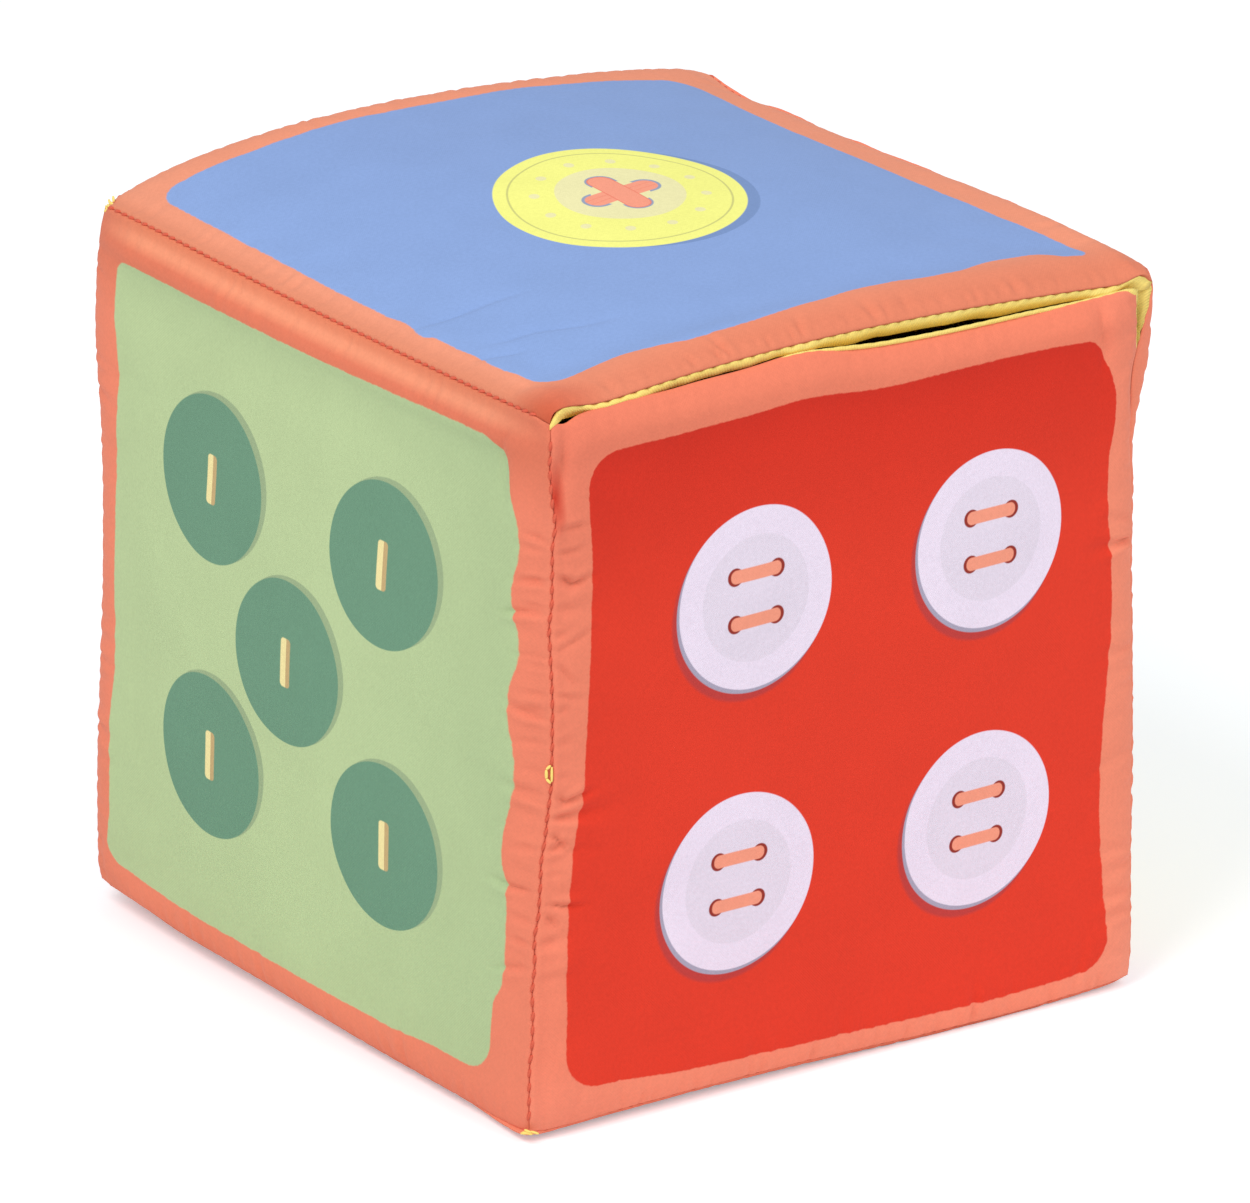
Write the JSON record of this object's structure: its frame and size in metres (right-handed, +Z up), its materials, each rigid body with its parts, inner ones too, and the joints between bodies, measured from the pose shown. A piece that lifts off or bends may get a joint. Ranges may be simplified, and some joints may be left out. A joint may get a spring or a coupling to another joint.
{
  "type": "soft fabric block",
  "caption": "Hollow soft cube of padded, printed fabric panels, sewn along its edges and open at a mouth under the lid, where the front folds out as a flap.",
  "frame": {"origin": "middle of the base, on the surface that the block rests on", "axes": "+Z up towards the lid, -Y out of the front panel under the mouth, -X out of the left panel"},
  "size_m": [0.162, 0.16, 0.1613],
  "materials": {
    "lid_print": "fine woven cotton, printed blue with a coral border and one yellow button",
    "front_print": "fine woven cotton, printed red with a coral border and lilac-white buttons",
    "left_print": "fine woven cotton, printed green with a coral border and dark green buttons",
    "right_print": "fine woven cotton, printed yellow with a coral border and buttons",
    "back_print": "fine woven cotton, printed lilac with a coral border and buttons",
    "base_print": "fine woven cotton, printed orange with a coral border and buttons",
    "lining": "plain yellow woven lining",
    "foam": "off-white polyester foam pad",
    "thread": "coral sewing thread"
  },
  "bodies": {
    "block": {"lid_cover": "lid_print", "lid_foam": "foam", "lid_lining": "lining", "front_cover": "front_print", "front_foam": "foam", "front_lining": "lining", "left_cover": "left_print", "left_foam": "foam", "left_lining": "lining", "right_cover": "right_print", "right_foam": "foam", "right_lining": "lining", "back_cover": "back_print", "back_foam": "foam", "back_lining": "lining", "base_cover": "base_print", "base_foam": "foam", "base_lining": "lining", "thread_back_right": "thread", "thread_base_back": "thread", "thread_base_front": "thread", "thread_base_left": "thread", "thread_base_right": "thread", "thread_left_back": "thread", "thread_left_front": "thread", "thread_lid_back": "thread", "thread_lid_left": "thread", "thread_lid_right": "thread", "thread_right_front": "thread"},
    "flap": {"flap_cover": "front_print", "flap_foam": "foam", "flap_lining": "lining"}
  },
  "joints": [
    {"name": "flap_fold", "type": "hinge", "parent": "block", "child": "flap", "pos_m": [0, -0.0787, 0.141], "axis": [0.994, 0, -0.109], "range_deg": [0, 60], "stiffness_Nm_per_rad": 0.003}
  ]
}
